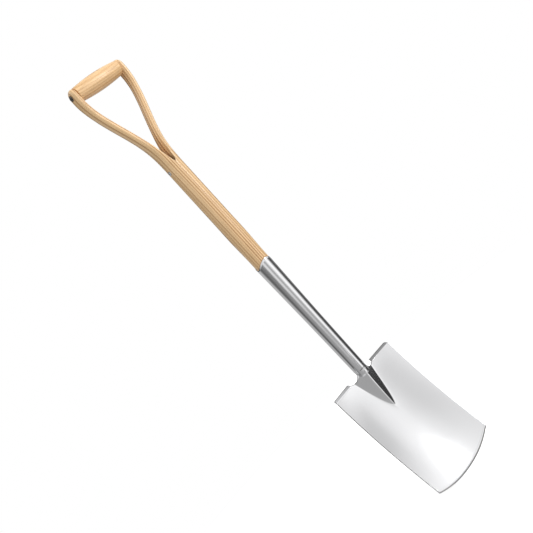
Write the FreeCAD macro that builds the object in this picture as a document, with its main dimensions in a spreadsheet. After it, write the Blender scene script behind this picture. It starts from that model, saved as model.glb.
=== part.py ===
import FreeCAD, Part

import math
import os
import re

import Sketcher
from FreeCAD import Placement, Rotation, Vector

# A digging spade, in millimetres. +Z runs up the shaft, +X is the spade's own right and the hollow
# front of the blade faces -Y. Everything is first placed about the shaft's axis (x = y = 0) with the
# middle of the cutting edge at z = 0, then the whole spade is moved along Y so that the origin is
# in the middle of its box, at the level of the cutting edge.

doc = FreeCAD.newDocument("Spade")

# ---------------------------------------------------------------- driving dimensions

DIMENSIONS = [
    # ash shaft and its two bent arms
    ("shaft_radius", 18.4, "shaft, over most of its length"),
    ("shaft_waist_radius", 17.3, "shaft just above the socket"),
    ("waist_end_height", 600.0, "where the shaft reaches its full radius"),
    ("crotch_height", 780.0, "bottom of the split between the arms"),
    ("spread_start_height", 795.0, "where the arms begin to part"),
    ("spread_end_height", 972.0, "where the arms are upright again"),
    ("arm_centre_top", 57.9, "middle of an arm beside the grip, from the shaft's axis"),
    ("arm_half_thickness", 6.4, "arm, across its width, above the split"),
    ("arm_half_depth", 11.6, "arm, front to back, beside the grip"),
    ("arm_top_rise", 14.8, "rounded top of an arm, above the grip's axis"),
    ("arm_root_inset", 0.25, "how far the arm's root lies inside the shaft's surface"),
    ("split_half_gap", 0.6, "half of the slit at the bottom of the split"),
    # cross grip
    ("grip_height", 982.0, "axis of the grip"),
    ("grip_radius", 17.8, "grip, in the middle"),
    ("grip_shoulder_radius", 17.0, "grip, a third of the way to each end"),
    ("grip_end_radius", 14.2, "grip, at its ends"),
    ("grip_half_length", 52.0, "grip, middle to end"),
    ("grip_shoulder", 26.0, "middle of the grip to its shoulder"),
    ("rod_radius", 3.0, "steel rod through the grip"),
    ("rod_clearance", 0.1, "between the rod and the wood"),
    ("grip_seat_gap", 0.4, "round the grip's ends, where they are let into the arms"),
    ("washer_seat", 63.8, "flat on an arm's outer face, from the shaft's axis"),
    ("washer_radius", 5.5, "grip washers"),
    ("washer_thickness", 1.2, "grip washers"),
    ("rod_head_radius", 4.1, "riveted ends of the rod"),
    ("rod_head_rise", 1.5, "riveted ends of the rod"),
    # rivet across the neck of the handle
    ("neck_height", 768.0, "axis of the neck rivet"),
    ("neck_seat", 17.6, "flat under each neck washer, from the shaft's axis"),
    ("neck_shank_radius", 2.0, "neck rivet"),
    ("neck_head_radius", 3.1, "neck rivet"),
    ("neck_head_rise", 1.4, "neck rivet"),
    ("neck_washer_radius", 4.4, "neck washers"),
    ("neck_washer_thickness", 1.0, "neck washers"),
    # steel socket: heights are measured down from its mouth, along its own axis
    ("mouth_height", 537.0, "tips of the two tongues at the socket's mouth, front and back"),
    ("mouth_arc_radius", 21.0, "rounding of those tongues, seen from the front"),
    ("socket_tilt", 0.71, "degrees that the socket leans forward"),
    ("mouth_radius", 18.4, "outside of the socket at its mouth"),
    ("socket_middle_radius", 15.2, "outside of the socket at its middle"),
    ("socket_middle_drop", 143.0, "mouth to middle"),
    ("socket_low_radius", 13.2, "outside of the socket above the blade"),
    ("socket_low_drop", 272.0, "mouth to the start of the swaged end"),
    ("swaged_radius", 9.8, "outside of the socket where its swaged end starts"),
    ("swaged_drop", 278.5, "mouth to the bottom of the swaged shoulder"),
    ("socket_end_radius", 6.6, "outside of the socket's lower end"),
    ("socket_length", 291.0, "whole socket"),
    ("socket_wall", 1.5, "thickness of the socket's wall"),
    ("tang_gap", 0.1, "between the wood and the socket"),
    ("mouth_gap", 0.3, "between the socket's mouth and the shoulder of the shaft"),
    ("tang_drop", 230.0, "mouth to the end of the wood"),
    ("screw_drop", 42.0, "mouth to the socket screw"),
    ("screw_radius", 2.6, "shank of the socket screw"),
    ("screw_head_radius", 5.0, "head of the socket screw"),
    ("screw_head_rise", 2.2, "head of the socket screw"),
    ("screw_length", 24.0, "socket screw, under its head"),
    # pressed blade
    ("blade_top_height", 250.2, "fold between the blade and its treads"),
    ("blade_top_depth", 5.1, "middle of the blade's front at the fold, behind the shaft's axis"),
    ("blade_length", 259.9, "along the middle of the blade"),
    ("blade_width", 173.0, "across the blade"),
    ("blade_top_tilt", 7.7, "degrees from the shaft at the top"),
    ("blade_tip_tilt", 22.5, "degrees from the shaft at the tip"),
    ("dish_top", 7.9, "how far the edges stand forward of the middle, at the top"),
    ("dish_tip", 6.0, "the same at the tip"),
    ("tip_rise", 17.1, "how far the cutting edge's ends stand above its middle"),
    ("sheet", 2.0, "thickness of the blade"),
    ("frog_half_width", 28.0, "frog, at the top of the blade"),
    ("frog_length", 87.0, "frog, along the blade"),
    ("frog_height", 18.6, "ridge of the frog above the blade"),
    ("collar_rise", 8.0, "how far the frog's collar runs up the socket"),
    ("collar_flare", 0.3, "how fast the collar swells towards the socket"),
    ("collar_start", 4.0, "where that swelling starts, down from the fold"),
    ("collar_half_width", 13.0, "collar, where it leaves the socket's sides"),
    ("notch_depth", 3.5, "relief between each tread and the frog"),
    ("notch_half_width", 34.0, "outer side of that relief"),
    # treads, and the welds behind the frog
    ("tread_inner", 36.0, "inner end of a tread, from the shaft's axis"),
    ("tread_length", 50.0, "a tread, end to end"),
    ("tread_width", 8.4, "fold to the tread's back edge"),
    ("tread_lift", 39.0, "degrees that a tread rises towards its back edge"),
    ("tread_corner", 5.0, "rounded outer corner of a tread"),
    ("weld_radius", 2.3, "weld beads"),
    ("weld_length", 14.0, "weld beads"),
    ("weld_offset", 9.9, "each weld bead, from the shaft's axis"),
    ("weld_drop", 1.0, "middle of a weld bead, below the fold"),
]

sizes = doc.addObject("Spreadsheet::Sheet", "Sizes")
for row, (alias, value, note) in enumerate(DIMENSIONS, start=1):
    sizes.set(f"A{row}", note)
    sizes.set(f"B{row}", str(value))
    sizes.setAlias(f"B{row}", alias)
doc.recompute()


def size(alias):
    """The value of one cell of the sheet."""
    return float(getattr(sizes, alias))


def cell(expression):
    """An expression over the sheet, with each alias turned into a reference to its cell."""
    return re.sub(r"[a-z][a-z_]+", lambda word: "Sizes." + word.group(), expression)


# ---------------------------------------------------------------- helpers


def origin_plane(body, role):
    """One of a body's own origin planes."""
    return next(feature for feature in body.Origin.OriginFeatures if feature.Role == role)


def outline_sketch(body, name, role, corners):
    """A closed outline of straight lines, every corner held by two expressions over the sheet."""
    sketch = body.newObject("Sketcher::SketchObject", name)
    sketch.AttachmentSupport = [(origin_plane(body, role), "")]
    sketch.MapMode = "FlatFace"
    points = [Vector(corner_value(across), corner_value(up), 0) for across, up in corners]
    count = len(points)
    for index, point in enumerate(points):
        sketch.addGeometry(Part.LineSegment(point, points[(index + 1) % count]), False)
    for index in range(count):
        sketch.addConstraint(Sketcher.Constraint("Coincident", index, 2, (index + 1) % count, 1))
    for index, (across, up) in enumerate(corners):
        for direction, axis, expression in (("DistanceX", -2, across), ("DistanceY", -1, up)):
            if expression == "0":
                sketch.addConstraint(Sketcher.Constraint("PointOnObject", index, 1, axis))
                continue
            value = corner_value(expression)
            number = sketch.addConstraint(Sketcher.Constraint(direction, -1, 1, index, 1, value))
            sketch.setExpression(f"Constraints[{number}]", cell(expression))
    return sketch


def corner_value(expression):
    """The number that an expression over the sheet gives, with its terms read left to right."""
    total = 0.0
    sign = 1.0
    for word in expression.split():
        if word in "+-":
            sign = 1.0 if word == "+" else -1.0
        else:
            factors = word.split("*")
            product = sign
            for factor in factors:
                product *= size(factor) if hasattr(sizes, factor) else float(factor)
            total += product
            sign = 1.0
    return total


def turned_body(name, role, corners, axis):
    """A body made by turning one outline through a full circle about a sketch axis."""
    body = doc.addObject("PartDesign::Body", name)
    sketch = outline_sketch(body, name + "Outline", role, corners)
    turn = body.newObject("PartDesign::Revolution", name + "Turn")
    turn.Profile = sketch
    turn.ReferenceAxis = (sketch, [axis])
    turn.Angle = 360.0
    return body


def cylinder(name, radius, length, position, direction):
    """A plain cylinder whose radius and length follow the sheet."""
    made = doc.addObject("Part::Cylinder", name)
    made.setExpression("Radius", cell(radius))
    made.setExpression("Height", cell(length))
    made.Placement = Placement(position, Rotation(Vector(0, 0, 1), direction))
    return made


def smoothstep(low, high, value):
    """0 below low, 1 above high and a smooth rise between them."""
    part = min(max((value - low) / (high - low), 0.0), 1.0)
    return part * part * (3.0 - 2.0 * part)


def mix(first, second, part):
    return first + (second - first) * part


UP = Vector(0, 0, 1)
RIGHT = Vector(1, 0, 0)
BACK = Vector(0, 1, 0)

socket_placement = Placement(
    Vector(0, 0, size("mouth_height")), Rotation(RIGHT, -size("socket_tilt"))
)


# ---------------------------------------------------------------- handle: shaft, tang and two arms


def arm_section(height):
    """Closed outline of the right arm, cut level at one height.

    At the root each arm is half of the round shaft, flat on its inner side; higher up it is an
    oval with a flatter inner and outer face. Above the grip's axis it is rounded over, and only its
    outer face draws in.
    """
    root = size("crotch_height")
    spread_low = size("spread_start_height")
    spread_high = size("spread_end_height")
    shape = smoothstep(root, root + 85.0, height)
    thinning = smoothstep(root, root + 26.0, height)
    outer_radius = size("shaft_radius") - size("arm_root_inset")
    root_half = (outer_radius - size("split_half_gap")) / 2.0
    level_half = mix(root_half, size("arm_half_thickness"), thinning)
    root_centre = outer_radius - level_half
    spread = smoothstep(spread_low, spread_high, height)
    centre = mix(root_centre, size("arm_centre_top"), spread)
    step = 1.0
    slope = (smoothstep(spread_low, spread_high, height + step) - spread) / step
    slope *= size("arm_centre_top") - root_centre
    half = level_half * math.sqrt(1.0 + slope * slope)
    depth = mix(outer_radius, size("arm_half_depth"), shape)
    over = max(height - size("grip_height"), 0.0) / (size("arm_top_rise") + 1.0)
    rounding = math.sqrt(max(1.0 - over * over, 0.0))
    depth *= rounding
    inner_face = centre - half
    half *= mix(0.35, 1.0, rounding ** 0.8)
    centre = inner_face + half
    widest = mix(centre - half + 1.5, centre, shape)
    power = mix(1.0, 0.72, shape)
    points = []
    for index in range(32):
        angle = 2.0 * math.pi * index / 32.0
        across = math.copysign(abs(math.cos(angle)) ** power, math.cos(angle))
        along = math.copysign(abs(math.sin(angle)) ** power, math.sin(angle))
        reach = centre + half - widest if across > 0 else widest - centre + half
        points.append(Vector(widest + reach * across, depth * along, height))
    curve = Part.BSplineCurve()
    curve.interpolate(points, True)
    return Part.Wire([curve.toShape()])


def arm_heights():
    """Levels of the arm's sections, from inside the shaft to the rounded top."""
    root = size("crotch_height") - 18.0
    axis = size("grip_height")
    heights = [root, root + 9.0]
    steps = 14
    for index in range(steps + 1):
        heights.append(mix(size("crotch_height"), axis, index / steps))
    top = size("arm_top_rise")
    heights += [axis + top * part for part in (0.35, 0.62, 0.82, 0.94)]
    return heights


shaft_blank = turned_body(
    "ShaftBlank",
    "XZ_Plane",
    [
        ("0", "mouth_height + -1.5*mouth_arc_radius"),
        ("shaft_waist_radius", "mouth_height + -1.5*mouth_arc_radius"),
        ("shaft_waist_radius", "mouth_height + 4"),
        ("shaft_radius", "waist_end_height"),
        ("shaft_radius", "crotch_height"),
        ("0", "crotch_height"),
    ],
    "V_Axis",
)
mouth_arc_start = Vector(0, -40.0, size("mouth_height") - size("mouth_arc_radius"))
shoulder_arc = cylinder("ShoulderArc", "mouth_arc_radius + mouth_gap", "80", mouth_arc_start, BACK)
shaft = doc.addObject("Part::Cut", "ShaftCore")
shaft.Base = shaft_blank
shaft.Tool = shoulder_arc
tang = turned_body(
    "Tang",
    "XZ_Plane",
    [
        ("0", "1"),
        ("mouth_radius - socket_wall - tang_gap", "1"),
        ("mouth_radius - socket_wall - tang_gap", "0"),
        ("socket_middle_radius - socket_wall - tang_gap", "-1*socket_middle_drop"),
        ("socket_low_radius - socket_wall - tang_gap", "-1*tang_drop"),
        ("0", "-1*tang_drop"),
    ],
    "V_Axis",
)
tang.Placement = socket_placement

right_arm = doc.addObject("Part::Feature", "RightArm")
right_arm.Shape = Part.makeLoft([arm_section(height) for height in arm_heights()], True, False)
left_arm = doc.addObject("Part::Mirroring", "LeftArm")
left_arm.Source = right_arm
left_arm.Normal = RIGHT

handle_blank = doc.addObject("Part::MultiFuse", "HandleBlank")
handle_blank.Shapes = [shaft, tang, right_arm, left_arm]

grip_axis = Vector(0, 0, size("grip_height"))
neck_axis = Vector(0, 0, size("neck_height"))
bores = [
    cylinder("RodBore", "rod_radius + rod_clearance", "200", grip_axis - RIGHT * 100.0, RIGHT),
    cylinder("GripSeat", "grip_end_radius + grip_seat_gap", "2 * grip_half_length",
             grip_axis - RIGHT * size("grip_half_length"), RIGHT),
    cylinder("NeckBore", "neck_shank_radius + rod_clearance", "60", neck_axis - RIGHT * 30.0, RIGHT),
]
for side, name in ((1.0, "Right"), (-1.0, "Left")):
    outward = RIGHT * side
    bores.append(cylinder(name + "WasherSeat", "washer_radius + 0.2", "10",
                          grip_axis + outward * size("washer_seat"), outward))
    bores.append(cylinder(name + "NeckSeat", "neck_washer_radius + 0.2", "10",
                          neck_axis + outward * size("neck_seat"), outward))
screw_level = socket_placement.multVec(Vector(0, 0, -size("screw_drop")))
bores.append(cylinder("ScrewBore", "screw_radius + rod_clearance", "screw_length + 1",
                      screw_level - BACK * (size("screw_length") - 17.5), BACK))
bore_tools = doc.addObject("Part::MultiFuse", "HandleBores")
bore_tools.Shapes = bores
handle = doc.addObject("Part::Cut", "Handle")
handle.Base = handle_blank
handle.Tool = bore_tools
handle.Label = "handle"


# ---------------------------------------------------------------- cross grip, its rod and washers

grip = turned_body(
    "Grip",
    "XZ_Plane",
    [
        ("-1*grip_half_length", "rod_radius + rod_clearance"),
        ("grip_half_length", "rod_radius + rod_clearance"),
        ("grip_half_length", "grip_end_radius"),
        ("grip_shoulder", "grip_shoulder_radius"),
        ("0.3*grip_shoulder", "grip_radius"),
        ("-0.3*grip_shoulder", "grip_radius"),
        ("-1*grip_shoulder", "grip_shoulder_radius"),
        ("-1*grip_half_length", "grip_end_radius"),
    ],
    "H_Axis",
)
grip.Label = "grip"
grip.Placement = Placement(grip_axis, Rotation())


def rivet_corners(shank, seat, head, rise):
    """Half outline of a rod along X with a low domed head at each end."""
    right_side = [
        (f"{seat}", shank),
        (f"{seat}", head),
        (f"{seat} + 0.45*{rise}", f"0.93*{head}"),
        (f"{seat} + 0.8*{rise}", f"0.7*{head}"),
        (f"{seat} + 0.96*{rise}", f"0.38*{head}"),
        (f"{seat} + {rise}", "0"),
    ]
    left_side = [(mirrored(across), up) for across, up in reversed(right_side)]
    return right_side + left_side


def mirrored(expression):
    """The same distance on the other side of the axis."""
    terms = expression.split(" + ")
    return " + ".join(f"-{term}" if "*" in term else f"-1*{term}" for term in terms)


def washer_body(name, bore, rim, thickness):
    """A flat washer on the plane across X, with a hole for its rivet."""
    body = doc.addObject("PartDesign::Body", name)
    sketch = body.newObject("Sketcher::SketchObject", name + "Outline")
    sketch.AttachmentSupport = [(origin_plane(body, "YZ_Plane"), "")]
    sketch.MapMode = "FlatFace"
    for index, radius in enumerate((rim, bore)):
        sketch.addGeometry(Part.Circle(Vector(), UP, corner_value(radius)), False)
        sketch.addConstraint(Sketcher.Constraint("Coincident", index, 3, -1, 1))
        number = sketch.addConstraint(Sketcher.Constraint("Radius", index, corner_value(radius)))
        sketch.setExpression(f"Constraints[{number}]", cell(radius))
    pad = body.newObject("PartDesign::Pad", name + "Pad")
    pad.Profile = sketch
    pad.setExpression("Length", cell(thickness))
    return body


grip_rod = turned_body(
    "GripRod",
    "XZ_Plane",
    rivet_corners("rod_radius", "washer_seat + washer_thickness", "rod_head_radius", "rod_head_rise"),
    "H_Axis",
)
grip_rod.Label = "grip_rod"
grip_rod.Placement = Placement(grip_axis, Rotation())

neck_rivet = turned_body(
    "NeckRivet",
    "XZ_Plane",
    rivet_corners("neck_shank_radius", "neck_seat + neck_washer_thickness", "neck_head_radius",
                  "neck_head_rise"),
    "H_Axis",
)
neck_rivet.Label = "neck_rivet"
neck_rivet.Placement = Placement(neck_axis, Rotation())

WASHERS = [
    ("grip_washer", "rod_radius + rod_clearance", "washer_radius", "washer_thickness",
     "washer_seat", grip_axis),
    ("neck_washer", "neck_shank_radius + rod_clearance", "neck_washer_radius",
     "neck_washer_thickness", "neck_seat", neck_axis),
]
washers = []
for label, bore, rim, thickness, seat, axis_point in WASHERS:
    for side_name, turn in (("right", 0.0), ("left", 180.0)):
        washer = washer_body(f"{label}_{side_name}", bore, rim, thickness)
        washer.Label = f"{label}_{side_name}"
        outward = Rotation(UP, turn)
        washer.Placement = Placement(axis_point + outward.multVec(RIGHT) * size(seat), outward)
        washers.append(washer)


# ---------------------------------------------------------------- socket and its screw

socket_blank = turned_body(
    "SocketBlank",
    "XZ_Plane",
    [
        ("mouth_radius - socket_wall", "0"),
        ("mouth_radius", "0"),
        ("socket_middle_radius", "-1*socket_middle_drop"),
        ("socket_low_radius", "-1*socket_low_drop"),
        ("swaged_radius", "-1*swaged_drop"),
        ("socket_end_radius", "-1*socket_length"),
        ("socket_end_radius - socket_wall", "-1*socket_length"),
        ("swaged_radius - socket_wall", "-1*swaged_drop"),
        ("socket_low_radius - socket_wall", "-1*socket_low_drop"),
        ("socket_low_radius - socket_wall", "-1*tang_drop"),
        ("socket_middle_radius - socket_wall", "-1*socket_middle_drop"),
    ],
    "V_Axis",
)
socket_blank.Placement = socket_placement
screw_hole = cylinder("SocketScrewHole", "screw_radius + rod_clearance", "30", screw_level, BACK)
mouth_block = doc.addObject("Part::Box", "MouthBlock")
mouth_block.Length = 60.0
mouth_block.Width = 80.0
mouth_block.setExpression("Height", cell("mouth_arc_radius + 5"))
mouth_block.Placement = Placement(mouth_arc_start - RIGHT * 30.0, Rotation())
mouth_arc = cylinder("MouthArc", "mouth_arc_radius", "80", mouth_arc_start, BACK)
mouth_corners = doc.addObject("Part::Cut", "MouthCorners")
mouth_corners.Base = mouth_block
mouth_corners.Tool = mouth_arc
socket_tools = doc.addObject("Part::MultiFuse", "SocketTools")
socket_tools.Shapes = [mouth_corners, screw_hole]
socket = doc.addObject("Part::Cut", "Socket")
socket.Base = socket_blank
socket.Tool = socket_tools
socket.Label = "socket"

screw = turned_body(
    "SocketScrew",
    "XZ_Plane",
    [
        ("0", "-1*screw_length"),
        ("0.35*screw_radius", "-1*screw_length"),
        ("screw_radius", "-0.75*screw_length"),
        ("screw_radius", "0"),
        ("screw_head_radius", "0"),
        ("0.9*screw_head_radius", "0.5*screw_head_rise"),
        ("0.6*screw_head_radius", "0.88*screw_head_rise"),
        ("0", "screw_head_rise"),
    ],
    "V_Axis",
)
screw.Label = "socket_screw"
wall_radius = mix(
    size("mouth_radius"), size("socket_middle_radius"),
    size("screw_drop") / size("socket_middle_drop"),
)
screw.Placement = Placement(screw_level + BACK * (wall_radius + 0.05), Rotation(UP, BACK))


# ---------------------------------------------------------------- blade: pressed sheet with its frog


def blade_frame(along):
    """Middle of the blade's front at a distance down from the fold, and the tilt there."""
    top_tilt = math.radians(size("blade_top_tilt"))
    tip_tilt = math.radians(size("blade_tip_tilt"))
    bend = (tip_tilt - top_tilt) / size("blade_length")
    tilt = top_tilt + bend * along
    forward = (math.cos(tilt) - math.cos(top_tilt)) / bend
    down = (math.sin(tilt) - math.sin(top_tilt)) / bend
    return size("blade_top_depth") + forward, size("blade_top_height") - down, tilt


def frog_rise(across, along):
    """Height of the frog above the dished blade."""
    left = 1.0 - max(along, 0.0) / size("frog_length")
    if left <= 0.0:
        return 0.0
    half_width = size("frog_half_width") * left ** 0.7
    ratio = abs(across) / half_width
    if ratio >= 1.0:
        return 0.0
    ridge = 0.16
    tent = 1.0 - (math.hypot(ratio, ridge) - ridge) / (math.hypot(1.0, ridge) - ridge)
    bell = (1.0 - ratio ** 3) / (1.0 + (ratio / 0.46) ** 5)
    shape = mix(bell, tent, smoothstep(-4.0, 30.0, along))
    swell = size("collar_flare") * max(size("collar_start") - along, 0.0)
    return (size("frog_height") * left + swell) * shape


def front_point(across, along):
    """A point of the blade's front surface."""
    depth, height, tilt = blade_frame(along)
    part = along / size("blade_length")
    dish = mix(size("dish_top"), size("dish_tip"), part)
    forward = dish * (2.0 * across / size("blade_width")) ** 2 + frog_rise(across, along)
    return Vector(across, depth - forward * math.cos(tilt), height + forward * math.sin(tilt))


def back_point(across, along):
    """The point behind a front point, one sheet's thickness away."""
    step = 0.4
    sideways = front_point(across + step, along) - front_point(across - step, along)
    lengthways = front_point(across, along + step) - front_point(across, along - step)
    normal = lengthways.cross(sideways)
    normal.normalize()
    return front_point(across, along) - normal * size("sheet")


def top_edge(across):
    """Where the sheet's upper edge lies: treads, a relief beside each, and the frog's collar."""
    reach = abs(across)
    collar = 1.0 - smoothstep(size("collar_half_width") - 2.0, size("frog_half_width") - 5.0, reach)
    relief = 1.0 - smoothstep(size("notch_half_width") - 5.0, size("notch_half_width"), reach)
    return size("notch_depth") * relief - (size("collar_rise") + size("notch_depth")) * collar


def tip_edge(across):
    """Where the cutting edge lies."""
    part = abs(2.0 * across / size("blade_width"))
    return size("blade_length") - size("tip_rise") * part ** 2.2


def sheet_face(point_at, columns, rows):
    """One smooth surface through a grid of points."""
    grid = []
    for row in range(rows + 1):
        line = []
        for column in range(columns + 1):
            across = size("blade_width") * (column / columns - 0.5)
            along = mix(top_edge(across), tip_edge(across), row / rows)
            line.append(point_at(across, along))
        grid.append(line)
    surface = Part.BSplineSurface()
    surface.interpolate(grid)
    return surface


def pressed_sheet():
    """The blade's sheet: a front and a back surface joined round their four edges."""
    front = sheet_face(front_point, 64, 44)
    back = sheet_face(back_point, 64, 44)
    faces = [front.toShape(), back.toShape()]
    low_u, high_u, low_v, high_v = front.bounds()
    for value in (low_u, high_u):
        faces.append(Part.makeRuledSurface(front.uIso(value).toShape(), back.uIso(value).toShape()))
    for value in (low_v, high_v):
        faces.append(Part.makeRuledSurface(front.vIso(value).toShape(), back.vIso(value).toShape()))
    shell = Part.Shell(faces)
    shell.sewShape()
    solid = Part.Solid(shell)
    if solid.Volume < 0:
        solid.reverse()
    return solid


blade_sheet = doc.addObject("Part::Feature", "BladeSheet")
blade_sheet.Shape = pressed_sheet()


# ---------------------------------------------------------------- treads, folded back from the blade


def tread_body(name):
    """A flat strip with a rounded root and a rounded outer corner, lying in its own XY plane.

    Local X runs from the inner end outwards and local Y from the fold to the back edge.
    """
    body = doc.addObject("PartDesign::Body", name)
    sketch = outline_sketch(
        body, name + "Outline", "XY_Plane",
        [("0", "0"), ("tread_length", "0"), ("tread_length", "tread_width"), ("0", "tread_width")],
    )
    pad = body.newObject("PartDesign::Pad", name + "Pad")
    pad.Profile = sketch
    pad.setExpression("Length", cell("sheet"))
    pad.Reversed = True
    doc.recompute()
    corner = next(
        f"Edge{number}"
        for number, edge in enumerate(pad.Shape.Edges, start=1)
        if all(abs(vertex.X - size("tread_length")) < 0.01 for vertex in edge.Vertexes)
        and all(abs(vertex.Y - size("tread_width")) < 0.01 for vertex in edge.Vertexes)
    )
    fillet = body.newObject("PartDesign::Fillet", name + "Corner")
    fillet.Base = (pad, [corner])
    fillet.setExpression("Radius", cell("tread_corner"))
    return body


inner_fold = front_point(size("tread_inner"), 0.0)
outer_fold = front_point(size("tread_inner") + size("tread_length"), 0.0)
fold_line = outer_fold - inner_fold
fold_line.normalize()
lift = math.radians(size("tread_lift"))
uphill = Vector(0, math.cos(lift), math.sin(lift))
tread_normal = fold_line.cross(uphill)
tread_normal.normalize()
uphill = tread_normal.cross(fold_line)
inner_fold -= tread_normal * 0.15

right_tread = tread_body("RightTread")
right_tread.Placement = Placement(inner_fold, Rotation(fold_line, uphill, tread_normal, "XYZ"))
left_tread = doc.addObject("Part::Mirroring", "LeftTread")
left_tread.Source = right_tread
left_tread.Normal = RIGHT

fold_root = cylinder("RightFold", "0.5 * sheet", "tread_length",
                     inner_fold - tread_normal * size("sheet") / 2.0, fold_line)
left_root = doc.addObject("Part::Mirroring", "LeftFold")
left_root.Source = fold_root
left_root.Normal = RIGHT

blade = doc.addObject("Part::MultiFuse", "Blade")
blade.Shapes = [blade_sheet, right_tread, left_tread, fold_root, left_root]
blade.Label = "blade"


# ---------------------------------------------------------------- weld beads behind the frog

welds = []
for side, side_name in ((1.0, "right"), (-1.0, "left")):
    weld = turned_body(
        f"Weld{side_name}",
        "XZ_Plane",
        [
            ("0", "-0.5*weld_length"),
            ("0.7*weld_radius", "-0.42*weld_length"),
            ("weld_radius", "-0.25*weld_length"),
            ("weld_radius", "0.25*weld_length"),
            ("0.7*weld_radius", "0.42*weld_length"),
            ("0", "0.5*weld_length"),
        ],
        "V_Axis",
    )
    weld.Label = f"weld_{side_name}"
    weld.Placement = Placement(
        Vector(side * size("weld_offset"), 0, size("blade_top_height") - size("weld_drop")),
        Rotation(),
    )
    welds.append(weld)


# ---------------------------------------------------------------- placing, checking and writing

doc.recompute()

NODES = [blade, socket, screw, handle, grip, grip_rod, neck_rivet] + washers + welds

whole = Part.makeCompound([node.Shape for node in NODES]).BoundBox
footing = Placement(Vector(0, -whole.Center.y, -whole.ZMin), Rotation())

for item in doc.Objects:
    for state in ("Invalid", "Error"):
        if state in item.State:
            raise RuntimeError(f"{item.Name} did not compute: {item.State}")

os.makedirs("parts", exist_ok=True)
for node in NODES:
    shape = node.Shape.copy()
    shape.Placement = footing.multiply(shape.Placement)
    if shape.isNull() or not shape.isValid():
        raise RuntimeError(f"{node.Label} has no valid shape")
    shape.exportStep(f"parts/{node.Label}.step")
    box = shape.BoundBox
    print(f"{node.Label:20s} solids {len(shape.Solids)} volume {shape.Volume / 1000.0:8.2f} cm3",
          f"x {box.XMin:.1f} {box.XMax:.1f} y {box.YMin:.1f} {box.YMax:.1f}",
          f"z {box.ZMin:.1f} {box.ZMax:.1f}")
print("moved along Y by", round(-whole.Center.y, 3), "and up by", round(-whole.ZMin, 3))
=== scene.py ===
import math

import bmesh
import bpy
import numpy as np
from mathutils import Matrix, Vector


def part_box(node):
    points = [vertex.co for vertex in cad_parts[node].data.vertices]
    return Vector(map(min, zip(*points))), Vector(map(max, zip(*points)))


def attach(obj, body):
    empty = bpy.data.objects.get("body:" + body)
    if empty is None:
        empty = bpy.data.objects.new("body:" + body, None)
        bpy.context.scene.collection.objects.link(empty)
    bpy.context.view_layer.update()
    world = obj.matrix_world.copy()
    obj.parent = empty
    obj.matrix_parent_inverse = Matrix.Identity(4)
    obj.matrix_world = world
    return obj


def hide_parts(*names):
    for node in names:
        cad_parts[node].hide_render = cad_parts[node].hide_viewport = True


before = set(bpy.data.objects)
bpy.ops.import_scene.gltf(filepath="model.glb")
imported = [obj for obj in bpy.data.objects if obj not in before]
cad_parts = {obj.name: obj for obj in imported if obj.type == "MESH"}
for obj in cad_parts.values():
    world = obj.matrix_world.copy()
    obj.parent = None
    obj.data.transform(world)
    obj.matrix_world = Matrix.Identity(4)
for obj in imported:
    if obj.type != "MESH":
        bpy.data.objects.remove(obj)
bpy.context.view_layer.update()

# The pieces are worked out in millimetres about the shaft's axis, with the middle of the cutting
# edge at z = 0, as the CAD model is. The neck rivet's box says where that axis is in the row frame.
NECK_HEIGHT = 768.0
rivet_low, rivet_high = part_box("neck_rivet")
AXIS_Y = (rivet_low.y + rivet_high.y) / 2.0
LIFT = (rivet_low.z + rivet_high.z) / 2.0 - NECK_HEIGHT / 1000.0


def to_row_frame(points):
    """Millimetres about the shaft's axis to metres in the row frame."""
    placed = np.asarray(points, float).reshape(-1, 3) / 1000.0
    placed[:, 1] += AXIS_Y
    placed[:, 2] += LIFT
    return placed


def smoothstep(low, high, value):
    part = np.clip((np.asarray(value, float) - low) / (high - low), 0.0, 1.0)
    return part * part * (3.0 - 2.0 * part)


def mix(first, second, part):
    return first + (second - first) * part


def unit(vectors):
    """Vectors of length one, for one vector or for rows of them."""
    return vectors / np.maximum(np.linalg.norm(vectors, axis=-1, keepdims=True), 1e-12)


# ---------------------------------------------------------------- materials: node helpers


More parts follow.
